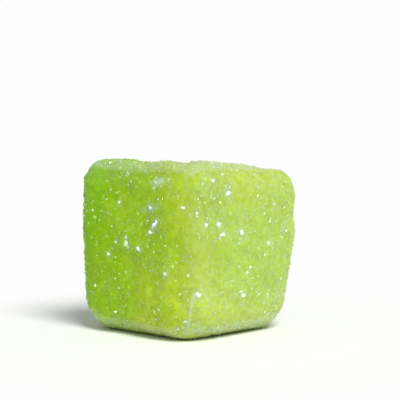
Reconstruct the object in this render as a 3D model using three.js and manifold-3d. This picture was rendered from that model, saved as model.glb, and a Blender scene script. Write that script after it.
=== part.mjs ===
// A sour gummy cube: one bite of soft, cloudy lime jelly with rounded edges, rolled in sour sugar.
//
// Millimetres, +Z up. The cube stands on its flat foot, and the origin is the middle of its outline from above,
// at the level of the foot. It is one solid: a rounded box of jelly that swells at the waist, leans, has a
// sloping, slightly domed top and is uneven all over, as a sweet from a hand-filled mould is. The crust of fine
// sugar is relief on its skin, and the largest crystals of the crust are fused to it as six-sided grains.

import * as THREE from "three";
import { mergeVertices } from "three/addons/utils/BufferGeometryUtils.js";
import Module from "manifold-3d";

// Driving dimensions of the jelly.
const WAIST_X = 16.3; // across the left and right faces, at mid-height
const WAIST_Y = 16.3; // across the front and back faces, at mid-height
const HEIGHT = 16.5; // from the foot to the rim of the top, halfway down its slope
const FOOT_RADIUS = 3.05; // rounding of the edges round the foot, which leaves 16 steps of the crust flat
const TOP_RADIUS = 2.0; // rounding of the edges round the top
const BARREL = 0.2; // how far each side stands out at mid-height, past its top and foot
const CROWN = 0.2; // how far the middle of a side face stands out past its upright edges
const TOP_DOME = 0.5; // how far the middle of the top stands over its rim
const TOP_RISE_X = 0.9; // how far the top rises from its left edge to its right one
const TOP_FALL_Y = 1.9; // how far the top falls from its front edge to its back one
const LEAN = 0.4; // how far the top has slipped towards +X, and as far towards +Y, over the foot

// The unevenness of the skin is a sum of waves: slow ones that bow a whole face, and short ripples.
const WAVES = [
  { count: 7, shortest: 8, longest: 14, height: 0.07 },
  { count: 9, shortest: 2.8, longest: 4.6, height: 0.028 },
];
const LEVEL_END = -0.5; // the waves and the crust fade out from where the skin faces down this much to the foot

// A shallow groove over the top, from the corner between the front and the right face to the one across it.
const GROOVE_DEPTH = 0.5;
const GROOVE_REACH = 1.0; // from its bottom to where it has nearly run out
const GROOVE_ASIDE = -0.5; // how far it runs beside the diagonal, on the side of the left face
const GROOVE_START = 0.1; // it starts where the skin faces up this much
const GROOVE_FULL = 0.8; // and has its full depth from here on

// The crust of fine sugar: a bump or a dip at each corner of the skin's facets.
const CRUST_STEP = 0.64; // from one bump to the next
const CRUST_RISE = 0.19; // the tallest bump
const CRUST_SHIFT = 0.3; // how far a bump may lie off the even grid, as a share of the step

// The largest crystals.
const GRAIN_TRIES = 26; // places tried on each face
const GRAIN_LEAST = 0.5; // across the smallest of them
const GRAIN_MOST = 0.85; // across the largest
const GRAIN_SIDES = 6; // a crystal is a blunt six-sided block
const GRAIN_TAPER = 0.84; // its narrow end, as a share of its wide end
const GRAIN_CLEAR = 1.0; // no crystal sits lower than this, so the foot stays flat
const FACE_COVER = 0.55; // share of the places that hold a crystal in the middle of a face
const EDGE_COVER = 0.95; // and at its edges, where more sugar catches
const SEED = 5232;

const half = new THREE.Vector3(WAIST_X / 2 - BARREL, WAIST_Y / 2 - BARREL, HEIGHT / 2);

// A seeded draw: each call gives the next number from 0 to 1.
function seededDraw(seed) {
  const factor = 48271;
  const modulus = 2147483647;
  let state = seed;
  return () => {
    state = (state * factor) % modulus;
    return state / modulus;
  };
}

function between(low, high, share) {
  return THREE.MathUtils.lerp(low, high, share);
}

// A direction spread evenly over the sphere.
function drawDirection(draw) {
  const z = between(-1, 1, draw());
  const turn = 2 * Math.PI * draw();
  const reach = Math.sqrt(1 - z * z);
  return new THREE.Vector3(reach * Math.cos(turn), reach * Math.sin(turn), z);
}

function drawWaves() {
  const draw = seededDraw(SEED);
  const waves = [];
  for (const { count, shortest, longest, height } of WAVES) {
    for (let i = 0; i < count; i++) {
      const heading = drawDirection(draw);
      const length = between(shortest, longest, draw());
      waves.push({ heading, length, height, phase: 2 * Math.PI * draw() });
    }
  }
  return waves;
}

const waves = drawWaves();

function unevenness(point) {
  return waves.reduce(
    (sum, { heading, length, height, phase }) =>
      sum + height * Math.sin((2 * Math.PI * heading.dot(point)) / length + phase),
    0,
  );
}

// The groove's depth at a point of the skin.
function grooveDepth(point, outward) {
  const away = (point.x + point.y) / Math.SQRT2 - GROOVE_ASIDE;
  const share = THREE.MathUtils.smoothstep(outward.z, GROOVE_START, GROOVE_FULL);
  return share * GROOVE_DEPTH * Math.exp(-((away / GROOVE_REACH) ** 2));
}

// The skin's place and outward direction for a point (u, v, w) on the surface of the cube from -1 to 1.
function skinAt(u, v, w) {
  const radius = between(FOOT_RADIUS, TOP_RADIUS, (w + 1) / 2);
  const onBox = new THREE.Vector3(u, v, w).multiply(half);
  const inset = half.clone().subScalar(radius);
  const point = onBox.clone().clamp(inset.clone().negate(), inset);
  const outward = onBox.sub(point).normalize();
  point.addScaledVector(outward, radius);

  const waist = 1 - w * w;
  point.x *= 1 + (BARREL * waist) / half.x;
  point.y *= 1 + (BARREL * waist) / half.y;
  point.x += Math.sign(u) * CROWN * (1 - v * v) * waist + (LEAN * w) / 2;
  point.y += Math.sign(v) * CROWN * (1 - u * u) * waist + (LEAN * w) / 2;
  point.z += ((TOP_RISE_X * u - TOP_FALL_Y * v) * (1 + w) ** 2) / 8;
  if (w > 0) point.z += TOP_DOME * (1 - u * u) * (1 - v * v);
  point.z += half.z;

  const level = THREE.MathUtils.smoothstep(outward.z, -1, LEVEL_END);
  point.addScaledVector(outward, level * unevenness(point) - grooveDepth(point, outward));
  return { point, outward, level };
}

// The jelly in its crust. Each corner of a fine grid over the cube goes to its place on the skin, a little
// off the grid along the skin, and out by the height of its bump.
function crustGeometry() {
  const steps = Math.round(HEIGHT / CRUST_STEP);
  const box = new THREE.BoxGeometry(2, 2, 2, steps, steps, steps);
  box.deleteAttribute("normal");
  box.deleteAttribute("uv");
  const crust = mergeVertices(box);
  const position = crust.getAttribute("position");
  const draw = seededDraw(SEED + 2);
  for (let i = 0; i < position.count; i++) {
    const { point, outward, level } = skinAt(position.getX(i), position.getY(i), position.getZ(i));
    const aside = drawDirection(draw).projectOnPlane(outward);
    point.addScaledVector(aside, level * CRUST_SHIFT * CRUST_STEP);
    point.addScaledVector(outward, level * CRUST_RISE * draw());
    position.setXYZ(i, point.x, point.y, point.z);
  }
  return crust;
}

// The point of the cube from -1 to 1 that lies at (s, t) on one face. The faces are right, left, back,
// front and top.
const faces = [
  (s, t) => [1, s, t],
  (s, t) => [-1, s, t],
  (s, t) => [s, 1, t],
  (s, t) => [s, -1, t],
  (s, t) => [s, t, 1],
];

// Even places on a face: each step along both sides of the face is an irrational share of it.
function evenPlace(i) {
  const stepS = 0.7548776662;
  const stepT = 0.569840291;
  return [2 * ((0.5 + i * stepS) % 1) - 1, 2 * ((0.5 + i * stepT) % 1) - 1];
}

function crystalGeometry(size, draw) {
  const wide = (size / 2) * between(0.8, 1, draw());
  const crystal = new THREE.CylinderGeometry(wide * GRAIN_TAPER, wide, size, GRAIN_SIDES);
  crystal.scale(1, 1, between(0.7, 1, draw()));
  crystal.applyQuaternion(
    new THREE.Quaternion().setFromUnitVectors(new THREE.Vector3(0, 1, 0), drawDirection(draw)),
  );
  return crystal;
}

// The largest crystals, each half sunk in its place on the skin.
function sugarGeometries() {
  const draw = seededDraw(SEED + 1);
  const crystals = [];
  for (const face of faces) {
    for (let i = 0; i < GRAIN_TRIES; i++) {
      const [s, t] = evenPlace(i);
      const size = between(GRAIN_LEAST, GRAIN_MOST, draw() ** 2);
      const crystal = crystalGeometry(size, draw);
      const nearEdge = Math.max(Math.abs(s), Math.abs(t)) ** 3;
      const holds = draw() < between(FACE_COVER, EDGE_COVER, nearEdge);
      const { point } = skinAt(...face(s, t));
      if (!holds || point.z < GRAIN_CLEAR) continue;
      crystals.push(crystal.translate(point.x, point.y, point.z));
    }
  }
  return crystals;
}

const wasm = await Module();
wasm.setup();

function solidOf(geometry) {
  const bare = geometry.clone();
  bare.deleteAttribute("normal");
  bare.deleteAttribute("uv");
  const merged = mergeVertices(bare);
  return new wasm.Manifold(
    new wasm.Mesh({
      numProp: 3,
      vertProperties: merged.getAttribute("position").array,
      triVerts: new Uint32Array(merged.index.array),
    }),
  );
}

function geometryOf(solid) {
  const { vertProperties, triVerts } = solid.getMesh();
  const geometry = new THREE.BufferGeometry();
  geometry.setAttribute("position", new THREE.BufferAttribute(vertProperties, 3));
  geometry.setIndex(new THREE.BufferAttribute(triVerts, 1));
  geometry.computeVertexNormals();
  return geometry;
}

function sugaredCubeGeometry() {
  const crystals = sugarGeometries().map(solidOf);
  const geometry = geometryOf(wasm.Manifold.union([solidOf(crustGeometry()), ...crystals]));
  geometry.computeBoundingBox();
  const middle = geometry.boundingBox.getCenter(new THREE.Vector3());
  return geometry.translate(-middle.x, -middle.y, 0);
}

const limeJelly = new THREE.MeshStandardMaterial({ color: 0xa0c93c, roughness: 0.45, metalness: 0 });
const gummyCube = new THREE.Mesh(sugaredCubeGeometry(), limeJelly);
gummyCube.name = "gummy_cube";

const group = new THREE.Group();
group.add(gummyCube);

export default group;
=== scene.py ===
"""A sour gummy cube on a pale studio floor.

The cube is one bite of soft, cloudy lime jelly that was rolled in sour sugar. The jelly takes its form from
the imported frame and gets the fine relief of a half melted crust. Loose and half sunk sugar crystals of
several sizes stand on it. Everything is in metres, and MM turns millimetres into metres. Fields are plain
millimetres only where their names end in mm or their class says so.
"""

import logging
import math
from dataclasses import dataclass
from enum import Enum

import bmesh
import bpy
import numpy as np
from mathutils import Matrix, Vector, noise
from mathutils.bvhtree import BVHTree


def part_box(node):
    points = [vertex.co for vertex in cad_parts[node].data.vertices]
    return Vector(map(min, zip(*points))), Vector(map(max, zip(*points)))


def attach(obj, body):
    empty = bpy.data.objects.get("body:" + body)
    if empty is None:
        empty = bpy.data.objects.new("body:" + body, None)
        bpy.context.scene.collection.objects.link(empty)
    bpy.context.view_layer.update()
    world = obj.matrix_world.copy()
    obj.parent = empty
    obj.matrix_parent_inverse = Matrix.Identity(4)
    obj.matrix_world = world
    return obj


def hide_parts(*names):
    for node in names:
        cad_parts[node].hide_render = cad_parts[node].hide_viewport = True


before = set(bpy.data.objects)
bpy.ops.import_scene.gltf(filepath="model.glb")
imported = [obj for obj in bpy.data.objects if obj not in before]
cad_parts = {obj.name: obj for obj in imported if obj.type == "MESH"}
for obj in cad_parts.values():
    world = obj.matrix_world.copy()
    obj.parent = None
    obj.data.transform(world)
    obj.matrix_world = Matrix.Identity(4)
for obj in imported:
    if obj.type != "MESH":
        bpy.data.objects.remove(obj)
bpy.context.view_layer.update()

MM = 0.001
CUBE_NODE = "gummy_cube"
BODY = "root"

# The marks that the meshes carry, one value a vertex, for the finishes. The frost_and_sheen mark holds
# painted sheen and glow besides the frost, ripe_and_glow a painted glow besides the jelly's ripeness, and
# dim mostly painted shade.
FROST_AND_SHEEN, RIPE_AND_GLOW, BARE, DIM, CLOUD = "frost_and_sheen", "ripe_and_glow", "bare", "dim", "cloud"
# The most that frost may cover of the flesh's own colour.
FULL_BLOOM = 0.95
WHITE = (1.0, 1.0, 1.0, 1.0)

log = logging.getLogger("sour_gummy_cube")


# Numbers and meshes


@dataclass(frozen=True)
class Ramp:
    """A smooth passage from the value start, at the reading low, to the value end, at the reading high."""

    low: float
    high: float
    start: float = 0.0
    end: float = 1.0

    def at(self, readings: np.ndarray) -> np.ndarray:
        """Return the value at each reading."""
        share = np.clip((readings - self.low) / (self.high - self.low), 0.0, 1.0)
        return self.start + (self.end - self.start) * (share * share * (3.0 - 2.0 * share))

    def times(self, factor: float) -> "Ramp":
        """Return the same passage with its values times a factor."""
        return Ramp(self.low, self.high, self.start * factor, self.end * factor)


@dataclass(frozen=True)
class Lumps:
    """Smooth noise in space, with lumps of one size. Its seed tells it from other noise."""

    SEED_STEP = (17.3, -9.1, 5.7)

    size: float
    seed: int

    def at(self, points: np.ndarray) -> np.ndarray:
        """Return the noise at each point, from about -1 to 1."""
        shift = Vector([step * self.seed for step in self.SEED_STEP])
        return np.array([noise.noise(Vector(p) / self.size + shift) for p in points])


def total(ramps: tuple[Ramp, ...], readings: np.ndarray) -> np.ndarray:
    """Return what the ramps add up to at each reading."""
    return sum(ramp.at(readings) for ramp in ramps)


def unit(vectors: np.ndarray) -> np.ndarray:
    """Return vectors, one a row, at length 1."""
    tiny = 1e-12
    return vectors / np.maximum(np.linalg.norm(vectors, axis=1, keepdims=True), tiny)


def mesh_arrays(mesh: bpy.types.Mesh) -> tuple[np.ndarray, np.ndarray]:
    """Read a mesh's vertices and triangles.

    Args:
        mesh: Any mesh.

    Returns:
        The places of the vertices, and three vertex numbers for each triangle.
    """
    places = np.empty(len(mesh.vertices) * 3)
    mesh.vertices.foreach_get("co", places)
    mesh.calc_loop_triangles()
    corners = np.empty(len(mesh.loop_triangles) * 3, dtype=np.int32)
    mesh.loop_triangles.foreach_get("vertices", corners)
    return places.reshape(-1, 3), corners.reshape(-1, 3)


def add_marks(mesh: bpy.types.Mesh, marks: dict[str, np.ndarray]) -> None:
    """Store marks on a mesh.

    Args:
        mesh: The mesh.
        marks: By name, one value a vertex.
    """
    for name, values in marks.items():
        mesh.attributes.new(name, "FLOAT", "POINT").data.foreach_set("value", values.astype(np.float32))


def new_object(name: str, mesh: bpy.types.Mesh, material: bpy.types.Material) -> bpy.types.Object:
    """Put a mesh in the scene.

    Args:
        name: The object's name, and its mesh's.
        mesh: The mesh, in place.
        material: What it is made of.

    Returns:
        The new object.
    """
    mesh.name = name
    mesh.materials.append(material)
    piece = bpy.data.objects.new(name, mesh)
    bpy.context.scene.collection.objects.link(piece)
    return piece


# Finishes


@dataclass
class NodeSketch:
    """Adds nodes to a shader tree and joins them."""

    # The sockets of a Mix node that blends colours.
    MIX_FACTOR, MIX_FIRST, MIX_SECOND, MIX_RESULT = 0, 6, 7, 2

    tree: bpy.types.NodeTree

    def feed(self, node: bpy.types.Node, values: dict) -> None:
        """Set or feed the inputs of a node.

        Args:
            node: The node.
            values: What its input sockets hold, or the output sockets that feed them, by name or number.
        """
        for name, value in values.items():
            if isinstance(value, bpy.types.NodeSocket):
                self.tree.links.new(value, node.inputs[name])
            else:
                node.inputs[name].default_value = value

    def add(self, kind: str, values: dict | None = None, **settings: object) -> bpy.types.Node:
        """Add a node.

        Args:
            kind: The node's type.
            values: What its inputs hold or are fed with, as for feed.
            settings: The node's own properties.

        Returns:
            The new node.
        """
        node = self.tree.nodes.new(kind)
        for name, value in settings.items():
            setattr(node, name, value)
        self.feed(node, values or {})
        return node

    def mark(self, name: str) -> bpy.types.NodeSocket:
        """Return the mark of that name on the mesh."""
        return self.add("ShaderNodeAttribute", attribute_name=name).outputs["Fac"]

    def math(self, operation: str, *values: object) -> bpy.types.NodeSocket:
        """Return the result of a Math node on values or sockets."""
        return self.add("ShaderNodeMath", dict(enumerate(values)), operation=operation).outputs[0]

    def vector_math(self, operation: str, *values: object) -> bpy.types.NodeSocket:
        """Return the result of a Vector Math node on values or sockets."""
        return self.add("ShaderNodeVectorMath", dict(enumerate(values)), operation=operation).outputs[0]

    def scaled(self, vector: bpy.types.NodeSocket, factor: object) -> bpy.types.NodeSocket:
        """Return a vector times a factor, which is a number or a socket."""
        node = self.add("ShaderNodeVectorMath", {0: vector, "Scale": factor}, operation="SCALE")
        return node.outputs[0]

    def noise(self, place: bpy.types.NodeSocket, size: float, detail: float,
              cut: float | None = None) -> bpy.types.NodeSocket:
        """Read smooth noise.

        Args:
            place: Where to read it.
            size: The size of its lumps, in the unit of place.
            detail: How many finer layers it has.
            cut: Where to cut noise of four dimensions, which tells it from noise of three at the same place.

        Returns:
            The noise, from 0 to 1.
        """
        values = {"Vector": place, "Scale": 1.0 / size, "Detail": detail}
        if cut is None:
            return self.add("ShaderNodeTexNoise", values).outputs["Fac"]
        return self.add("ShaderNodeTexNoise", values | {"W": cut}, noise_dimensions="4D").outputs["Fac"]

    def spread(self, value: bpy.types.NodeSocket, ramp: Ramp) -> bpy.types.NodeSocket:
        """Return the value of a ramp at the reading that a socket gives."""
        values = {"Value": value, "From Min": ramp.low, "From Max": ramp.high, "To Min": ramp.start,
                  "To Max": ramp.end}
        return self.add("ShaderNodeMapRange", values, interpolation_type="SMOOTHSTEP").outputs[0]

    def blend(self, factor: object, first: object, second: object,
              mode: str = "MIX") -> bpy.types.NodeSocket:
        """Blend two colours.

        Args:
            factor: The share of the second colour, a number or a socket.
            first: A colour or a socket.
            second: A colour or a socket.
            mode: How they blend.

        Returns:
            The blended colour.
        """
        values = {self.MIX_FACTOR: factor, self.MIX_FIRST: first, self.MIX_SECOND: second}
        return self.add("ShaderNodeMix", values, data_type="RGBA", blend_type=mode).outputs[self.MIX_RESULT]


class CrustGroup:
    """The shader group that gives any sugared surface its facets and specks.

    Its input Facet mm is the size of a facet and Tilt how far facets lean, from 0 to 1. It puts out the
    leaning Normal, and Speck, a mask of single facets of white dust.
    """

    NAME = "sugar crust"
    METRES_TO_MM = 1000.0
    START = {"Facet mm": 0.3, "Tilt": 0.3}
    CENTRE = (0.5, 0.5, 0.5)
    SPECK = Ramp(0.83, 0.9)

    @classmethod
    def tree(cls) -> bpy.types.NodeTree:
        """Return the group, built on its first use."""
        return bpy.data.node_groups.get(cls.NAME) or cls._build()

    @classmethod
    def _build(cls) -> bpy.types.NodeTree:
        """Build the group and return it."""
        tree = bpy.data.node_groups.new(cls.NAME, "ShaderNodeTree")
        for name, start in cls.START.items():
            socket = tree.interface.new_socket(name, in_out="INPUT", socket_type="NodeSocketFloat")
            socket.default_value = start
        tree.interface.new_socket("Normal", in_out="OUTPUT", socket_type="NodeSocketVector")
        tree.interface.new_socket("Speck", in_out="OUTPUT", socket_type="NodeSocketFloat")
        sketch = NodeSketch(tree)
        given = sketch.add("NodeGroupInput").outputs
        place = sketch.scaled(sketch.add("ShaderNodeTexCoord").outputs["Object"], cls.METRES_TO_MM)
        density = sketch.math("DIVIDE", 1.0, given["Facet mm"])
        cells = sketch.add("ShaderNodeTexVoronoi", {"Vector": place, "Scale": density})
        lean = sketch.vector_math("SUBTRACT", cells.outputs["Color"], cls.CENTRE)
        lean = sketch.scaled(lean, sketch.math("MULTIPLY", given["Tilt"], 2.0))
        upright = sketch.add("ShaderNodeNewGeometry").outputs["Normal"]
        leaning = sketch.vector_math("NORMALIZE", sketch.vector_math("ADD", upright, lean))
        split = sketch.add("ShaderNodeSeparateColor", {"Color": cells.outputs["Color"]})
        speck = sketch.spread(split.outputs["Red"], cls.SPECK)
        sketch.add("NodeGroupOutput", {"Normal": leaning, "Speck": speck})
        return tree


@dataclass(frozen=True)
class Flesh:
    """The colours of the jelly, from its deep green to the yellow of ripe jelly and of the painted glow
    where light shines through, and of its frost and painted sheen.
    """

    NAME = "jelly flesh"

    deep: tuple[float, ...] = (0.225, 0.56, 0.0, 1.0)
    # Yellow of ripe jelly, also painted as a glow where the key light shines through.
    ripe_and_glow: tuple[float, ...] = (0.525, 0.695, 0.006, 1.0)
    # Pale frost, also painted as sheen on the lit side and as a glow round glints.
    frost_and_sheen: tuple[float, ...] = (0.61, 0.79, 0.52, 1.0)

    def tree(self) -> bpy.types.NodeTree:
        """Return the group, built on first use, that turns Ripe_and_glow and Frost_and_sheen, from 0 to 1,
        into a Colour.
        """
        return bpy.data.node_groups.get(self.NAME) or self._build()

    def _build(self) -> bpy.types.NodeTree:
        """Build the group and return it."""
        tree = bpy.data.node_groups.new(self.NAME, "ShaderNodeTree")
        for name in ("Ripe_and_glow", "Frost_and_sheen"):
            tree.interface.new_socket(name, in_out="INPUT", socket_type="NodeSocketFloat")
        tree.interface.new_socket("Colour", in_out="OUTPUT", socket_type="NodeSocketColor")
        sketch = NodeSketch(tree)
        given = sketch.add("NodeGroupInput").outputs
        flesh = sketch.blend(given["Ripe_and_glow"], self.deep, self.ripe_and_glow)
        colour = sketch.blend(given["Frost_and_sheen"], flesh, self.frost_and_sheen)
        sketch.add("NodeGroupOutput", {"Colour": colour})
        return tree


def new_material(name: str) -> tuple[bpy.types.Material, NodeSketch, bpy.types.Node]:
    """Start a material.

    Args:
        name: The material's name.

    Returns:
        The material, a sketch of its tree and its Principled shader.
    """
    material = bpy.data.materials.new(name)
    material.use_nodes = True
    return material, NodeSketch(material.node_tree), material.node_tree.nodes["Principled BSDF"]


@dataclass(frozen=True)
class LimeJelly:
    """Cloudy lime jelly under a half melted crust of fine sugar.

    Its ramps read noise, but those that end in up read the height in mm, those with when in their names read
    the mark named last, and roughness reads frost.

    Attributes:
        mottle_and_shade_tint: What the flesh's colour is multiplied by where the dim mark, which is mostly
            painted shade, and the mottle's spots are fullest.
        facet_mm: The size of the crust's facets.
        tilt: How far they lean.
        speck: How frosted a white facet is.
        drift: How much riper or less ripe wide patches are.
        grain: How the finest grain breaks up frost.
        ripple: How high that grain stands.
        sand: How frosted the fine sand between the facets is.
        mottle: How dim small spots are.
        mottle_cut: Which noise those spots follow.
        depth: How deep light goes into the jelly.
        reach: The shares of that depth for red, green and blue.
    """

    flesh: Flesh = Flesh()
    # Tint of the dim mark, mostly painted shade, and of the mottle's spots.
    mottle_and_shade_tint: tuple[float, ...] = (0.84, 0.77, 0.8, 1.0)
    facet_mm: float = 0.26
    tilt: float = 0.16
    speck: float = 0.14
    drift_mm: float = 6.0
    drift: Ramp = Ramp(0.3, 0.7, -0.12, 0.12)
    grain_mm: float = 0.5
    grain: Ramp = Ramp(0.3, 0.72, 0.6, 1.4)
    ripple: float = 0.06 * MM
    ripple_strength: float = 0.8
    sand: Ramp = Ramp(0.42, 0.68, 0.0, 0.07)
    sand_up: Ramp = Ramp(6.0, 12.0, 1.0, 0.6)
    # Partly painted light: less sand where the jelly is less ripe and glows less, away from the lit side.
    sand_when_ripe_and_glow: Ramp = Ramp(0.15, 0.8, 0.05, 1.0)
    sand_when_bare: Ramp = Ramp(0.0, 1.0, 1.0, 0.1)
    mottle_mm: float = 0.55
    mottle_cut: float = 3.0
    mottle: Ramp = Ramp(0.36, 0.64, 0.0, 0.65)
    mottle_up: Ramp = Ramp(5.0, 12.0, 1.0, 0.7)
    roughness: Ramp = Ramp(0.0, 0.8, 0.4, 0.6)
    depth: float = 2.6 * MM
    reach: tuple[float, ...] = (0.9, 1.0, 0.2)
    ior: float = 1.42
    gloss: float = 0.12

    def material(self) -> bpy.types.Material:
        """Build the material and return it."""
        material, sketch, shader = new_material("lime jelly")
        place = sketch.scaled(sketch.add("ShaderNodeTexCoord").outputs["Object"], CrustGroup.METRES_TO_MM)
        height = sketch.add("ShaderNodeSeparateXYZ", {"Vector": place}).outputs["Z"]
        grain = sketch.noise(place, self.grain_mm, detail=3.0)
        crust = sketch.add("ShaderNodeGroup", {"Facet mm": self.facet_mm, "Tilt": self.tilt},
                           node_tree=CrustGroup.tree())
        frost_and_sheen, ripe_and_glow, bare, dim = (sketch.mark(name) for name in (FROST_AND_SHEEN, RIPE_AND_GLOW, BARE, DIM))
        drift = sketch.noise(place, self.drift_mm, detail=2.0)
        ripe_and_glow = sketch.math("ADD", ripe_and_glow, sketch.spread(drift, self.drift))
        sand = sketch.math("MULTIPLY", sketch.spread(grain, self.sand), sketch.spread(height, self.sand_up))
        sand = sketch.math("ADD", sand, sketch.math("MULTIPLY", crust.outputs["Speck"], self.speck))
        sand = sketch.math("MULTIPLY", sand, sketch.spread(ripe_and_glow, self.sand_when_ripe_and_glow))
        sand = sketch.math("MULTIPLY", sand, sketch.spread(bare, self.sand_when_bare))
        bloom = sketch.math("ADD", sketch.math("MULTIPLY", frost_and_sheen, sketch.spread(grain, self.grain)), sand)
        bloom = sketch.math("MINIMUM", bloom, FULL_BLOOM)
        flesh = sketch.add("ShaderNodeGroup", {"Ripe_and_glow": ripe_and_glow, "Frost_and_sheen": bloom}, node_tree=self.flesh.tree())
        spots = sketch.noise(place, self.mottle_mm, detail=2.0, cut=self.mottle_cut)
        spots = sketch.spread(spots, self.mottle)
        spots = sketch.math("MULTIPLY", spots, sketch.spread(height, self.mottle_up))
        # Painted shade: the dim mark darkens the flesh by the tint, together with the mottle's spots.
        dim = sketch.math("MINIMUM", sketch.math("ADD", dim, spots), 1.0)
        relief = {"Strength": self.ripple_strength, "Distance": self.ripple,
                  "Normal": crust.outputs["Normal"], "Height": grain}
        sketch.feed(shader, {
            "Base Color": sketch.blend(dim, flesh.outputs["Colour"], self.mottle_and_shade_tint, "MULTIPLY"),
            "Roughness": sketch.spread(frost_and_sheen, self.roughness),
            "Normal": sketch.add("ShaderNodeBump", relief).outputs[0],
            "Subsurface Weight": 1.0,
            "Subsurface Scale": self.depth,
            "Subsurface Radius": self.reach,
            "IOR": self.ior,
            "Specular IOR Level": self.gloss,
        })
        return material


@dataclass(frozen=True)
class Sugar:
    """Sugar crystals, from clear to cloudy ones, which take up the colour of the jelly under them.

    Attributes:
        most: How frosted the cloudiest of them are on the ripest jelly, where its painted glow is fullest.
        white: The share of plain sugar's colour in all of them.
        lets_through: The share of light that goes on to the jelly, so that crystals throw faint shadows.
        depth: How deep light goes into them.
        reach: The shares of that depth for red, green and blue.
        roughness: Twice that of the clearest of them and half that of the cloudiest.
    """

    # The power of cloudiness that paleness goes by, so that few crystals are pale.
    CLEARING = 3.0
    # How frosted a crystal looks on full frost and painted sheen.
    FROST_SHARE = 1.1
    # Partly painted light: crystals grow paler with the jelly's ripeness and painted glow, towards the lit
    # side.
    MOST_BY_RIPENESS_AND_GLOW = Ramp(0.0, 0.6, 0.3, 1.0)
    ROUGHNESS_BY_CLOUD = Ramp(0.0, 1.0, 0.5, 2.0)

    name: str
    most: float
    white: float = 0.0
    flesh: Flesh = Flesh()
    sugar: tuple[float, ...] = (0.72, 0.88, 0.8, 1.0)
    lets_through: float = 0.9
    depth: float = 0.4 * MM
    reach: tuple[float, ...] = (1.0, 1.0, 0.6)
    roughness: float = 0.14
    ior: float = 1.55
    gloss: float = 0.5

    def material(self) -> bpy.types.Material:
        """Build the material and return it."""
        material, sketch, shader = new_material(self.name)
        cloud, frost_and_sheen, ripe_and_glow = (sketch.mark(name) for name in (CLOUD, FROST_AND_SHEEN, RIPE_AND_GLOW))
        pale = sketch.math("POWER", cloud, self.CLEARING)
        pale = sketch.math("MULTIPLY", pale, sketch.spread(ripe_and_glow, self.MOST_BY_RIPENESS_AND_GLOW.times(self.most)))
        pale = sketch.math("ADD", pale, sketch.math("MULTIPLY", frost_and_sheen, self.FROST_SHARE))
        pale = sketch.math("MINIMUM", pale, FULL_BLOOM)
        flesh = sketch.add("ShaderNodeGroup", {"Ripe_and_glow": ripe_and_glow, "Frost_and_sheen": pale}, node_tree=self.flesh.tree())
        shadow = sketch.add("ShaderNodeLightPath").outputs["Is Shadow Ray"]
        sketch.feed(shader, {
            "Base Color": sketch.blend(self.white, flesh.outputs["Colour"], self.sugar),
            "Roughness": sketch.spread(cloud, self.ROUGHNESS_BY_CLOUD.times(self.roughness)),
            "Alpha": sketch.math("SUBTRACT", 1.0, sketch.math("MULTIPLY", shadow, self.lets_through)),
            "Subsurface Weight": 1.0,
            "Subsurface Scale": self.depth,
            "Subsurface Radius": self.reach,
            "IOR": self.ior,
            "Specular IOR Level": self.gloss,
        })
        return material


# The jelly


# How far before a side a ray starts that looks for the skin.
RAY_START = 50 * MM


class Side(Enum):
    """A side of the cube that the photograph shows, by the way it faces."""

    LEFT = (0.0, -1.0, 0.0)
    RIGHT = (1.0, 0.0, 0.0)

    def across(self, points: np.ndarray) -> np.ndarray:
        """Return how far points lie to the right of the side's middle, as one looks at it."""
        return points[:, 0] if self is Side.LEFT else points[:, 1]

    def before(self, across: float, up: float) -> Vector:
        """Return the place well before the side, at distances in mm from its middle and over the foot."""
        along = Vector((across, 0.0, up)) if self is Side.LEFT else Vector((0.0, across, up))
        return along * MM + Vector(self.value) * RAY_START


@dataclass(frozen=True)
class Dab:
    """A soft patch on one side where the crust is thicker or thinner than round it, paler with frost or a
    painted glow, or darker with painted shade.

    Attributes:
        side: The side it is on.
        across: How far its middle lies to the right of the side's, in mm.
        up: How far its middle lies over the foot, in mm.
        width: Half its size along, in mm.
        height: Half its size beside that, in mm.
        frost_and_sheen: How much more frosted it is, or round a spark how strong its painted glow is.
        bare: How much more bare of sugar it is.
        dim: How much darker it is, mostly as painted shade, and in a bare patch as the deeper colour of bare
            jelly.
        slant: How far it is turned anticlockwise, in degrees.
    """

    FACED = Ramp(0.75, 0.95)

    side: Side
    across: float
    up: float
    width: float
    height: float
    frost_and_sheen: float = 0.0
    bare: float = 0.0
    dim: float = 0.0
    slant: float = 0.0

    def share(self, skin: np.ndarray, cube: np.ndarray) -> np.ndarray:
        """Work out how much of the patch lies at each point.

        Args:
            skin: The points on the skin.
            cube: The same points on the cube from -1 to 1.

        Returns:
            A share from 0 to 1 for each point.
        """
        right, up = self.side.across(skin) - self.across * MM, skin[:, 2] - self.up * MM
        turn = math.radians(self.slant)
        along = right * math.cos(turn) + up * math.sin(turn)
        beside = up * math.cos(turn) - right * math.sin(turn)
        faced = self.FACED.at(cube @ np.array(self.side.value))
        return faced * np.exp(-(along / (self.width * MM)) ** 2 - (beside / (self.height * MM)) ** 2)


@dataclass(frozen=True)
class Spark:
    """A large crystal at a place of its own, where it catches the light, with a painted glow in frost colour
    round it.

    Its place across and up the side and its size are in mm, as a dab's are.
    """

    HALO_STRETCH = 1.2
    # Painted glow round the glint, in frost colour.
    HALO_GLOW = 0.3

    side: Side
    across: float
    up: float
    size: float

    def halo(self) -> Dab:
        """Return the painted glow round the crystal, a dab of frost colour."""
        return Dab(self.side, self.across, self.up, self.size, self.size * self.HALO_STRETCH,
                   frost_and_sheen=self.HALO_GLOW)


def sparks_on(side: Side, *rows: tuple[float, float, float]) -> tuple[Spark, ...]:
    """Return large crystals on one side, each from its place across and up and its size."""
    return tuple(Spark(side, *row) for row in rows)


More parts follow.
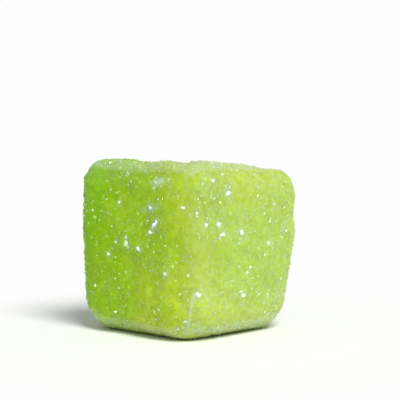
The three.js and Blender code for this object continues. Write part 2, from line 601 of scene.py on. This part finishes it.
@dataclass(frozen=True)
class Seam:
    """A thin ridge of sugar low on the upright edge between the two seen sides.

    Attributes:
        low: The height of its lower end.
        high: The height of its upper end.
        start: How far right of the edge its lower end is.
        end: How far right of the edge its upper end is.
        width: Half its width.
        fade_low: The length over which it fades out below its lower end.
        fade_high: The length over which it fades out towards its upper end.
        near: The least x - y that the skin has round the edge.
    """

    low: float = 1.2 * MM
    high: float = 5.4 * MM
    start: float = -0.25 * MM
    end: float = 0.45 * MM
    width: float = 0.17 * MM
    fade_low: float = 0.4 * MM
    fade_high: float = 0.8 * MM
    near: float = 12 * MM

    def share(self, points: np.ndarray) -> np.ndarray:
        """Return how much of the ridge lies at each point, from 0 to 1."""
        x, y, z = points.T
        aside = (x + y) / math.sqrt(2)
        middle = self.start + (self.end - self.start) * (z - self.low) / (self.high - self.low)
        ends = Ramp(self.low - self.fade_low, self.low).at(z)
        ends = ends * Ramp(self.high - self.fade_high, self.high, 1.0, 0.0).at(z)
        return (x - y > self.near) * ends * np.exp(-((aside - middle) / self.width) ** 2)


@dataclass(frozen=True)
class CrustPlan:
    """Where the crust is frosted or bare and the jelly under it is ripe, and where light and shade are
    painted on: a paler sheen, a yellower glow and a darker shade.

    The ramps read a point on the cube from -1 to 1: how far up, down or to the right it is, how far out from
    the upright middle line, or how far across, from the far left of the left side to the far right of the
    right side with the nearest edge at 0. The method marks says which ramp reads what.
    """

    seam: Seam = Seam()
    sparks: tuple[Spark, ...] = sparks_on(
        Side.LEFT, (-0.4, 9.4, 0.52), (-0.4, 10.0, 0.26), (3.7, 11.6, 0.46), (4.0, 11.9, 0.3),
        (3.0, 10.8, 0.32), (1.3, 9.0, 0.4), (-1.8, 9.4, 0.28), (-2.9, 8.1, 0.34), (-1.5, 13.4, 0.32),
        (3.0, 13.2, 0.34), (5.4, 6.9, 0.36), (7.1, 13.5, 0.3), (7.9, 12.9, 0.3),
    ) + sparks_on(
        Side.RIGHT, (-3.0, 14.6, 0.54), (-1.3, 10.6, 0.5), (-4.1, 11.6, 0.46), (-3.6, 10.6, 0.36),
        (-5.1, 16.0, 0.4), (-6.8, 4.9, 0.44), (-5.8, 11.7, 0.36), (-0.9, 4.3, 0.4),
    )
    dabs: tuple[Dab, ...] = (
        Dab(Side.RIGHT, -5.3, 9.2, 2.0, 1.6, frost_and_sheen=-0.04, bare=0.9, dim=0.6),
        # Painted shade: these two darken the jelly along the near upright edge, which the key light catches.
        Dab(Side.RIGHT, -7.4, 8.0, 1.8, 8.5, frost_and_sheen=0.1, bare=0.25, dim=0.35),
        Dab(Side.LEFT, 7.4, 8.0, 1.0, 9.0, dim=0.45),
        Dab(Side.RIGHT, 4.8, 10.5, 1.3, 0.16, frost_and_sheen=0.35, slant=55.0),
        Dab(Side.RIGHT, -2.5, 10.4, 2.6, 0.7, frost_and_sheen=0.08),
        Dab(Side.RIGHT, 5.5, 3.2, 2.4, 1.8, frost_and_sheen=0.1),
        Dab(Side.LEFT, 4.0, 15.8, 1.1, 0.35, frost_and_sheen=0.75, slant=8.0),
        Dab(Side.LEFT, 3.1, 13.2, 1.1, 0.3, frost_and_sheen=0.65, slant=15.0),
        Dab(Side.LEFT, 3.8, 11.6, 0.8, 0.25, frost_and_sheen=0.45, slant=50.0),
        Dab(Side.LEFT, -6.2, 1.8, 2.2, 0.5, frost_and_sheen=0.2),
        # Painted shade over the lit rounding of the top left corner.
        Dab(Side.LEFT, -5.0, 16.2, 4.0, 1.2, frost_and_sheen=0.08, dim=0.4),
    )
    top: Ramp = Ramp(0.98, 1.0)
    top_rim_in: Ramp = Ramp(0.5, 0.75)
    top_rim_out: Ramp = Ramp(0.93, 1.0, 1.0, 0.0)
    foot: Ramp = Ramp(0.85, 1.0)
    foot_rim: Ramp = Ramp(0.6, 0.95)
    top_frost: float = 0.03
    top_rim_frost: float = 0.24
    # Partly painted light: the foot rim is paler, which lifts it out of the floor's shade.
    foot_rim_frost_and_light: float = 0.28
    seam_frost: float = 0.45
    frost_up: Ramp = Ramp(0.5, 1.0, 0.0, 0.02)
    # Partly painted sheen: paler towards the near edge and on the right side, which faces the key light.
    frost_and_sheen_across: tuple[Ramp, ...] = (Ramp(-0.7, 0.0, 0.0, 0.03), Ramp(-0.08, 0.2, 0.0, 0.15),
                                      Ramp(0.2, 1.0, 0.0, 0.03))
    patches: Lumps = Lumps(2.4 * MM, 5)
    patch_frost: Ramp = Ramp(0.0, 0.7, 0.0, 0.03)
    wisps: Lumps = Lumps(0.9 * MM, 6)
    wisp_frost: Ramp = Ramp(0.1, 0.7, 0.0, 0.03)
    # Painted light: this takes the painted shade off the foot rim.
    foot_rim_dim: float = -0.6
    # Painted shade: darker higher up and most on top, where the key light falls from above.
    painted_shade_up: tuple[Ramp, ...] = (Ramp(-0.2, 0.8, 0.0, 0.22), Ramp(0.85, 1.0, 0.0, 0.8))
    # Painted shade on the right side, which faces the key light, more of it higher up.
    right_side: Ramp = Ramp(-0.1, 0.3)
    painted_shade_right: Ramp = Ramp(0.3, 0.85, 0.15, 0.35)
    ripeness: float = 0.41
    # Painted glow: yellower towards +x, over the right side and towards the near edge, where the key light
    # shines through.
    painted_glow: float = 0.39
    # Painted light: yellower and lighter at the foot, against the floor's shade.
    painted_foot_glow: Ramp = Ramp(0.7, 1.0, 0.0, 0.22)
    ripe_low: Ramp = Ramp(-0.1, 0.5, 0.0, 0.12)
    ripe_low_left: Ramp = Ramp(0.6, 1.0, 1.0, 0.0)

    def marks(self, skin: np.ndarray, cube: np.ndarray) -> dict[str, np.ndarray]:
        """Work out all marks of the skin.

        Args:
            skin: The skin's points.
            cube: The same points on the cube from -1 to 1.

        Returns:
            By the mark's name, one value a point.
        """
        right, up, down = cube[:, 0], cube[:, 2], -cube[:, 2]
        out, across = np.abs(cube[:, :2]).max(axis=1), (cube[:, 0] + cube[:, 1]) / 2
        top, foot_rim = self.top.at(up), self.foot.at(down) * self.foot_rim.at(out)
        # The sparks' halos paint a glow round their glints.
        dabs = self.dabs + tuple(spark.halo() for spark in self.sparks)
        frost_and_sheen = self.top_rim_frost * top * self.top_rim_out.at(out) * self.top_rim_in.at(out)
        # Partly painted light: a paler foot rim, lifted out of the floor's shade.
        frost_and_sheen += self.foot_rim_frost_and_light * foot_rim + self.top_frost * top
        # Partly painted sheen: paler towards the near edge and the lit right side.
        frost_and_sheen += self.frost_up.at(up) + total(self.frost_and_sheen_across, across)
        frost_and_sheen += self.patch_frost.at(self.patches.at(skin)) + self.wisp_frost.at(self.wisps.at(skin))
        frost_and_sheen += sum(dab.frost_and_sheen * dab.share(skin, cube) for dab in dabs)
        frost_and_sheen += self.seam_frost * self.seam.share(skin)
        # Painted shade: darker higher up and on the lit right side, and none on the foot rim; the dabs add
        # more, and the deeper colour of a bare patch.
        dim = sum(dab.dim * dab.share(skin, cube) for dab in self.dabs) + total(self.painted_shade_up, up)
        dim += self.painted_shade_right.at(up) * self.right_side.at(across) + self.foot_rim_dim * foot_rim
        # Painted glow: yellower towards the right and at the foot.
        ripe_and_glow = self.ripeness + self.painted_glow * right + self.painted_foot_glow.at(down)
        ripe_and_glow += self.ripe_low.at(down) * self.ripe_low_left.at(right)
        return {FROST_AND_SHEEN: np.clip(frost_and_sheen, 0, 1), RIPE_AND_GLOW: np.clip(ripe_and_glow, 0, 1), BARE: self.bare(skin, cube),
                DIM: np.clip(dim, -1, 1)}

    def bare(self, skin: np.ndarray, cube: np.ndarray) -> np.ndarray:
        """Work out how bare of sugar each point is.

        Args:
            skin: The skin's points.
            cube: The same points on the cube from -1 to 1.

        Returns:
            One value a point, from 0 to 1.
        """
        return np.clip(sum(dab.bare * dab.share(skin, cube) for dab in self.dabs), 0, 1)


@dataclass
class Jelly:
    """The jelly body with its half melted crust, fitted inside the frame's solid of the cube.

    Attributes:
        finish: What it is made of.
        plan: Where its crust is frosted, bare or dim.
        steps: How many squares the grid has along an edge.
        cover: How far below the solid's sides the core lies, from which its skin is measured.
        merge: How near two corners of the solid are one.
        trend_rounds: Rounds of smoothing to the form without its grains.
        crust_rounds: Rounds of smoothing to the form with low grains.
        last_rounds: Rounds of smoothing that soften what is left.
        proud: How far a grain may stand out of either form.
        foot_gap: The least height of the jelly over the floor.
        lumps: The noise of the crust's lumps, which stand lump_rise high.
        grains: The noise of its grains, which stand grain_rise high.
        bare_melts: The share of that relief that a bare place lacks.
        foot_fade: The share of the relief, read up the cube from -1 to 1.
    """

    finish: LimeJelly = LimeJelly()
    plan: CrustPlan = CrustPlan()
    steps: int = 125
    cover: float = 4.6 * MM
    merge: float = 0.0001 * MM
    trend_rounds: int = 60
    crust_rounds: int = 40
    last_rounds: int = 6
    proud: float = 0.07 * MM
    foot_gap: float = 0.1 * MM
    lumps: Lumps = Lumps(0.62 * MM, 3)
    lump_rise: float = 0.035 * MM
    grains: Lumps = Lumps(0.3 * MM, 4)
    grain_rise: float = 0.03 * MM
    bare_melts: float = 0.8
    seam_rise: float = 0.11 * MM
    foot_fade: Ramp = Ramp(-1.0, -0.96)

    def build(self) -> bpy.types.Object:
        """Build the jelly and return it."""
        low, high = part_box(CUBE_NODE)
        mesh = self._grid()
        cube, _ = mesh_arrays(mesh)
        inner, outward = self._core(cube, low, high)
        reach = self._melt(mesh, self._reach(inner, outward, high - low))
        skin = inner + outward * reach[:, None]
        skin += outward * self._relief(skin, cube)[:, None]
        skin[:, 2] = np.maximum(skin[:, 2], self.foot_gap)
        mesh.vertices.foreach_set("co", skin.ravel())
        add_marks(mesh, self.plan.marks(skin, cube))
        mesh.polygons.foreach_set("use_smooth", np.ones(len(mesh.polygons), dtype=bool))
        mesh.update()
        piece = new_object("sugared_jelly", mesh, self.finish.material())
        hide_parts(CUBE_NODE)
        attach(piece, BODY)
        return piece

    def _grid(self) -> bpy.types.Mesh:
        """Return the mesh of a cube from -1 to 1 with an even grid on each face."""
        grid = bmesh.new()
        bmesh.ops.create_cube(grid, size=2.0)
        bmesh.ops.subdivide_edges(grid, edges=grid.edges[:], cuts=self.steps - 1, use_grid_fill=True)
        bmesh.ops.recalc_face_normals(grid, faces=grid.faces[:])
        mesh = bpy.data.meshes.new("sugared_jelly")
        grid.to_mesh(mesh)
        grid.free()
        return mesh

    def _core(self, cube: np.ndarray, low: Vector, high: Vector) -> tuple[np.ndarray, np.ndarray]:
        """Place the grid on a box inside the solid, well below its skin.

        Args:
            cube: The grid's points on the cube from -1 to 1.
            low: The lowest corner of the frame's solid.
            high: Its highest corner.

        Returns:
            The inner points, and the directions that lead out of them.
        """
        half = np.array((high - low) / 2)
        middle = np.array((high + low) / 2)
        inset = half - self.cover
        on_box = cube * half
        inner = np.clip(on_box, -inset, inset)
        return inner + middle, unit(on_box - inner)

    def _reach(self, inner: np.ndarray, outward: np.ndarray, size: Vector) -> np.ndarray:
        """Measure how far the frame's solid reaches from each inner point, along its direction.

        Args:
            inner: The inner points.
            outward: The directions.
            size: The size of the solid's box.

        Returns:
            One distance a point.
        """
        solid = bmesh.new()
        solid.from_mesh(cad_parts[CUBE_NODE].data)
        bmesh.ops.remove_doubles(solid, verts=solid.verts[:], dist=self.merge)
        tree = BVHTree.FromBMesh(solid)
        solid.free()
        reach = np.full(len(inner), self.cover)
        for i, (start, way) in enumerate(zip(inner, outward)):
            distance = tree.ray_cast(Vector(start), Vector(way), size.length)[3]
            if distance is not None:
                reach[i] = distance
        return reach

    def _melt(self, mesh: bpy.types.Mesh, reach: np.ndarray) -> np.ndarray:
        """Melt the grains that stand out of the solid down to the crust.

        Args:
            mesh: The grid, for its edges.
            reach: The distance of the solid's surface at each point.

        Returns:
            The distance of the crust.
        """
        crust = np.minimum(reach, self._smoothed(mesh, reach, self.trend_rounds) + self.proud)
        crust = np.minimum(crust, self._smoothed(mesh, crust, self.crust_rounds) + self.proud)
        return self._smoothed(mesh, crust, self.last_rounds)

    @staticmethod
    def _smoothed(mesh: bpy.types.Mesh, values: np.ndarray, rounds: int) -> np.ndarray:
        """Smooth values over a mesh.

        Args:
            mesh: The mesh, for its edges.
            values: One value a vertex.
            rounds: How often each value becomes the mean of itself and its neighbours' mean.

        Returns:
            The smoothed values.
        """
        ends = np.empty(len(mesh.edges) * 2, dtype=np.int32)
        mesh.edges.foreach_get("vertices", ends)
        first, second = ends.reshape(-1, 2).T
        count = len(values)
        neighbours = np.bincount(first, minlength=count) + np.bincount(second, minlength=count)
        for _ in range(rounds):
            around = np.bincount(first, values[second], count) + np.bincount(second, values[first], count)
            values = (values + around / neighbours) / 2
        return values

    def _relief(self, skin: np.ndarray, cube: np.ndarray) -> np.ndarray:
        """Work out the fine relief of the half melted sugar.

        Args:
            skin: The crust's points.
            cube: The same points on the cube from -1 to 1.

        Returns:
            How far each point moves outwards.
        """
        rise = self.lump_rise * self.lumps.at(skin) + self.grain_rise * np.abs(self.grains.at(skin))
        rise *= 1 - self.bare_melts * self.plan.bare(skin, cube)
        rise += self.seam_rise * self.plan.seam.share(skin)
        return rise * self.foot_fade.at(cube[:, 2])


# The sugar


class Habit(Enum):
    """The shape that a crystal grew in."""

    BLOCK = "block"
    PRISM = "prism"
    CHIP = "chip"


@dataclass(frozen=True)
class Crystal:
    """One crystal, about 1 across. A block has cut edges, a prism is stretched, and a chip leans."""

    habit: Habit
    block: tuple[float, ...] = (1.0, 0.8, 0.62)
    bevel: float = 0.1
    prism: tuple[float, ...] = (1.0, 0.75, 1.0)
    prism_sides: int = 6
    prism_foot: float = 0.5
    prism_top: float = 0.38
    prism_length: float = 0.8
    chip: tuple[float, ...] = (1.0, 0.72, 0.5)
    chip_lean: float = 0.25
    chip_skew: float = 0.1

    def arrays(self) -> tuple[np.ndarray, np.ndarray]:
        """Model the crystal and return its vertices and triangles."""
        crystal = bmesh.new()
        if self.habit is Habit.PRISM:
            bmesh.ops.create_cone(crystal, cap_ends=True, segments=self.prism_sides, radius1=self.prism_foot,
                                  radius2=self.prism_top, depth=self.prism_length)
        else:
            bmesh.ops.create_cube(crystal, size=1.0)
        stretch = {Habit.BLOCK: self.block, Habit.PRISM: self.prism, Habit.CHIP: self.chip}[self.habit]
        bmesh.ops.scale(crystal, vec=stretch, verts=crystal.verts[:])
        if self.habit is Habit.BLOCK:
            bmesh.ops.bevel(crystal, geom=crystal.edges[:], offset=self.bevel, affect="EDGES", segments=1,
                            profile=0.5, material=-1)
        elif self.habit is Habit.CHIP:
            for vertex in crystal.verts:
                vertex.co.x += self.chip_lean * vertex.co.z + self.chip_skew * vertex.co.y
        bmesh.ops.triangulate(crystal, faces=crystal.faces[:])
        mesh = bpy.data.meshes.new("crystal")
        crystal.to_mesh(mesh)
        crystal.free()
        arrays = mesh_arrays(mesh)
        bpy.data.meshes.remove(mesh)
        return arrays


@dataclass
class Strewn:
    """One kind of sugar crystal, strewn over the jelly.

    Attributes:
        count: How many are strewn, apart from the sparks.
        sunk: How deep they sit in the crust, as a share of their size.
        frost_gain: How much more of them lie on frost.
        facing: Where their flat sides face, if not away from the skin.
        lean: How far they lean from there.
        sparks: Crystals at places of their own, after the strewn ones.
        spark_lean: The share of lean that sparks have.
        spark_lift: How much further out sparks sit, as a share of their size.
        sorting: How much rarer large ones are.
        stretch: How far a crystal may shrink or grow along each axis.
        bob: How far it may sit higher or deeper, as a share of its size.
        patches: How many more lie in some patches, by noise.
        least: How many lie outside them.
        shunned: The share that a bare place lacks.
    """

    # For how many triangles on end the noise of the patches is read once.
    NOISE_STRIDE = 8

    name: str
    habit: Habit
    finish: Sugar
    count: int
    smallest: float
    largest: float
    sunk: float
    frost_gain: float
    seed: int
    facing: Vector | None = None
    lean: float = 0.55
    sparks: tuple[Spark, ...] = ()
    spark_lean: float = 0.5
    spark_lift: float = 0.12
    sorting: float = 2.0
    stretch: tuple[float, float] = (0.75, 1.2)
    bob: float = 0.12
    patch_size: float = 3.2 * MM
    patches: Ramp = Ramp(-0.35, 0.45)
    least: float = 0.25
    shunned: float = 0.9

    def build(self, jelly: bpy.types.Object) -> bpy.types.Object:
        """Strew the crystals.

        Args:
            jelly: The piece that carries them.

        Returns:
            The crystals, joined in one piece.
        """
        draw = np.random.default_rng(self.seed)
        places, normals, marks = self._places(jelly, draw)
        count = len(places)
        sizes = self.smallest + (self.largest - self.smallest) * draw.random(count) ** self.sorting
        sizes[self.count:] = [spark.size * MM for spark in self.sparks]
        turns = self._turns(normals if self.facing is None else np.tile(self.facing, (count, 1)), draw)
        stretch = draw.uniform(*self.stretch, (count, 1, 3))
        shape, triangles = Crystal(self.habit).arrays()
        turned = np.einsum("nij,nkj->nki", turns, shape[None] * stretch * sizes[:, None, None])
        lift = sizes * draw.uniform(-self.bob, self.bob, count) - sizes * self.sunk
        lift[self.count:] += self.spark_lift * sizes[self.count:]
        centres = places + normals * lift[:, None]
        vertices = (turned + centres[:, None]).reshape(-1, 3)
        vertices[:, 2] = np.maximum(vertices[:, 2], 0.0)
        corners = (triangles[None] + np.arange(count)[:, None, None] * len(shape)).reshape(-1, 3)
        marks[CLOUD] = draw.random(count)
        mesh = self._mesh(vertices, corners)
        add_marks(mesh, {name: np.repeat(values, len(shape)) for name, values in marks.items()})
        piece = new_object(self.name, mesh, self.finish.material())
        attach(piece, BODY)
        return piece

    def _places(self, jelly: bpy.types.Object,
                draw: np.random.Generator) -> tuple[np.ndarray, np.ndarray, dict[str, np.ndarray]]:
        """Pick the crystals' places, the strewn ones first and then the sparks'.

        Args:
            jelly: The piece that carries them.
            draw: The seeded draw.

        Returns:
            The places, the skin's directions there, and by name the marks of frost and ripeness there.
        """
        vertices, triangles = mesh_arrays(jelly.data)
        a, b, c = vertices[triangles].transpose(1, 0, 2)
        cross = np.cross(b - a, c - a)
        frost_and_sheen, ripe_and_glow, bare = (self._mark(jelly.data, name)[triangles].mean(axis=1)
                             for name in (FROST_AND_SHEEN, RIPE_AND_GLOW, BARE))
        coarse = Lumps(self.patch_size, self.seed).at(((a + b + c) / 3)[:: self.NOISE_STRIDE])
        patch = self.patches.at(coarse.repeat(self.NOISE_STRIDE)[: len(cross)])
        weight = np.linalg.norm(cross, axis=1) * (self.least + patch + self.frost_gain * frost_and_sheen)
        heap = np.cumsum(weight * (1 - self.shunned * bare))
        picks = (np.arange(self.count) + draw.random(self.count)) / self.count * heap[-1]
        chosen = np.minimum(np.searchsorted(heap, picks), len(heap) - 1)
        s, t = np.sqrt(draw.random(self.count)), draw.random(self.count)
        shares = np.stack([1 - s, s * (1 - t), s * t])[:, :, None]
        places = shares[0] * a[chosen] + shares[1] * b[chosen] + shares[2] * c[chosen]
        if self.sparks:
            tree = BVHTree.FromPolygons(vertices.tolist(), triangles.tolist())
            hits = [tree.ray_cast(spark.side.before(spark.across, spark.up), -Vector(spark.side.value))
                    for spark in self.sparks]
            places = np.concatenate([places, [hit[0] for hit in hits]])
            chosen = np.concatenate([chosen, [hit[2] for hit in hits]])
        return places, unit(cross[chosen]), {FROST_AND_SHEEN: frost_and_sheen[chosen], RIPE_AND_GLOW: ripe_and_glow[chosen]}

    @staticmethod
    def _mark(mesh: bpy.types.Mesh, name: str) -> np.ndarray:
        """Return the mark of that name on a mesh, one value a vertex."""
        values = np.empty(len(mesh.vertices), dtype=np.float32)
        mesh.attributes[name].data.foreach_get("value", values)
        return values

    def _turns(self, upright: np.ndarray, draw: np.random.Generator) -> np.ndarray:
        """Turn each crystal its own way, with its flat side roughly upright.

        Args:
            upright: For each crystal, where its flat side would face without the draw.
            draw: The seeded draw.

        Returns:
            One rotation matrix a crystal.
        """
        count = len(upright)
        lean = np.full((count, 1), self.lean)
        lean[self.count:] *= self.spark_lean
        upright = unit(upright + lean * draw.normal(size=(count, 3)))
        aside = unit(np.cross(upright, draw.normal(size=(count, 3))))
        third = np.cross(upright, aside)
        return np.stack([aside, third, upright], axis=2)

    def _mesh(self, vertices: np.ndarray, corners: np.ndarray) -> bpy.types.Mesh:
        """Join the crystals in one mesh.

        Args:
            vertices: The places of all vertices.
            corners: Three vertex numbers a triangle.

        Returns:
            The mesh.
        """
        mesh = bpy.data.meshes.new(self.name)
        mesh.vertices.add(len(vertices))
        mesh.vertices.foreach_set("co", vertices.ravel())
        mesh.loops.add(corners.size)
        mesh.loops.foreach_set("vertex_index", corners.ravel())
        mesh.polygons.add(len(corners))
        mesh.polygons.foreach_set("loop_start", np.arange(0, corners.size, 3))
        mesh.polygons.foreach_set("use_smooth", np.zeros(len(corners), dtype=bool))
        mesh.update()
        mesh.validate()
        return mesh


# The studio


@dataclass
class Studio:
    """The pale floor, the soft lights and the camera.

    Angles are in degrees, and the lens is in mm. The camera aims a little right of the cube's middle and
    above it, and the key light hangs to the camera's right. The world's ramp gives the strength of the
    white surroundings, from what lights the cube to what the camera sees.
    """

    azimuth: float = 44.2
    elevation: float = 6.0
    distance: float = 240.0 * MM
    lens: float = 212.0
    aim_right: float = 1.2 * MM
    aim_up: float = 4.2 * MM
    nearest: float = 1 * MM
    farthest: float = 10.0
    key_aside: float = 25.0
    key_rise: float = 50.0
    key_strength: float = 2.85
    key_width: float = 26.0
    world: Ramp = Ramp(0.0, 1.0, 0.42, 0.99)
    floor_radius: float = 2.0
    floor_sides: int = 96
    floor_colour: tuple[float, ...] = (0.9, 0.9, 0.9, 1.0)
    floor_roughness: float = 0.9
    floor_gloss: float = 0.1

    def build(self, middle: Vector) -> None:
        """Build the floor, the world, the light and the camera round the middle of the cube."""
        self._floor()
        self._world()
        self._camera(middle)
        self._key()

    def glint(self) -> Vector:
        """Return the way that a facet faces which throws the key light at the viewer."""
        return (self._towards_key() + self._way(self.azimuth, self.elevation)).normalized()

    @staticmethod
    def _way(azimuth: float, elevation: float) -> Vector:
        """Return the direction from the cube towards an azimuth and an elevation."""
        turn, rise = math.radians(azimuth), math.radians(elevation)
        return Vector((math.sin(turn) * math.cos(rise), -math.cos(turn) * math.cos(rise), math.sin(rise)))

    def _towards_key(self) -> Vector:
        """Return the direction from the cube towards the key light."""
        return self._way(self.azimuth + self.key_aside, self.key_rise)

    def _floor(self) -> None:
        """Lay the floor."""
        disc = bmesh.new()
        bmesh.ops.create_circle(disc, cap_ends=True, segments=self.floor_sides, radius=self.floor_radius)
        mesh = bpy.data.meshes.new("floor")
        disc.to_mesh(mesh)
        disc.free()
        material, sketch, shader = new_material("pale floor")
        sketch.feed(shader, {"Base Color": self.floor_colour, "Roughness": self.floor_roughness,
                             "Specular IOR Level": self.floor_gloss})
        new_object("floor", mesh, material)

    def _world(self) -> None:
        """Light the scene softly from all round, before a white background."""
        world = bpy.data.worlds.new("studio")
        world.use_nodes = True
        bpy.context.scene.world = world
        sketch = NodeSketch(world.node_tree)
        seen = sketch.add("ShaderNodeLightPath").outputs["Is Camera Ray"]
        sketch.feed(world.node_tree.nodes["Background"], {"Strength": sketch.spread(seen, self.world),
                                                          "Color": WHITE})
        bpy.context.scene.view_settings.view_transform = "Standard"

    def _key(self) -> None:
        """Hang the wide, soft key light far away, high at the camera's right."""
        light = bpy.data.lights.new("key", "SUN")
        light.energy = self.key_strength
        light.angle = math.radians(self.key_width)
        lamp = bpy.data.objects.new("key", light)
        lamp.rotation_mode = "QUATERNION"
        lamp.rotation_quaternion = self._towards_key().to_track_quat("Z", "Y")
        bpy.context.scene.collection.objects.link(lamp)

    def _camera(self, middle: Vector) -> None:
        """Set up the camera at the photograph's viewing angle, aimed at the middle of the cube."""
        camera = bpy.data.objects.new("camera", bpy.data.cameras.new("camera"))
        camera.data.lens = self.lens
        camera.data.clip_start = self.nearest
        camera.data.clip_end = self.farthest
        way = self._way(self.azimuth, self.elevation)
        turn = way.to_track_quat("Z", "Y")
        camera.rotation_mode = "QUATERNION"
        camera.rotation_quaternion = turn
        camera.location = middle + way * self.distance + turn @ Vector((self.aim_right, self.aim_up, 0.0))
        bpy.context.scene.collection.objects.link(camera)
        bpy.context.scene.camera = camera


# The whole


def report(piece: bpy.types.Object) -> None:
    """Log a piece's name and how many triangles it has."""
    log.info("%s: %d triangles", piece.name, sum(len(face.vertices) - 2 for face in piece.data.polygons))


def main() -> None:
    """Build the cube, its sugar and the studio."""
    logging.basicConfig(level=logging.INFO, format="%(name)s: %(message)s")
    studio = Studio()
    jelly = Jelly()
    cube = jelly.build()
    report(cube)
    kinds = [
        Strewn("coarse_sugar", Habit.BLOCK, Sugar("coarse sugar", most=0.9), count=140,
               smallest=0.4 * MM, largest=0.6 * MM, sunk=0.3, frost_gain=1.0, seed=21),
        Strewn("glinting_sugar", Habit.BLOCK, Sugar("glinting sugar", most=0.6, white=0.45, roughness=0.22),
               count=130, smallest=0.16 * MM, largest=0.3 * MM, sunk=0.0, frost_gain=1.0, seed=25,
               facing=studio.glint(), lean=0.11, sparks=jelly.plan.sparks),
        Strewn("granulated_sugar", Habit.BLOCK, Sugar("granulated sugar", most=0.7, white=0.04), count=2500,
               smallest=0.18 * MM, largest=0.4 * MM, sunk=0.2, frost_gain=1.5, seed=22),
        Strewn("fine_sugar", Habit.PRISM, Sugar("fine sugar", most=0.4, gloss=0.25), count=8000,
               smallest=0.12 * MM, largest=0.22 * MM, sunk=0.15, frost_gain=2.0, seed=23),
        Strewn("sour_dust", Habit.CHIP, Sugar("sour dust", most=0.5, gloss=0.15), count=12000,
               smallest=0.06 * MM, largest=0.12 * MM, sunk=0.05, frost_gain=2.5, seed=24),
    ]
    for kind in kinds:
        report(kind.build(cube))
    low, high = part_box(CUBE_NODE)
    studio.build((low + high) / 2)


if __name__ == "__main__":
    main()
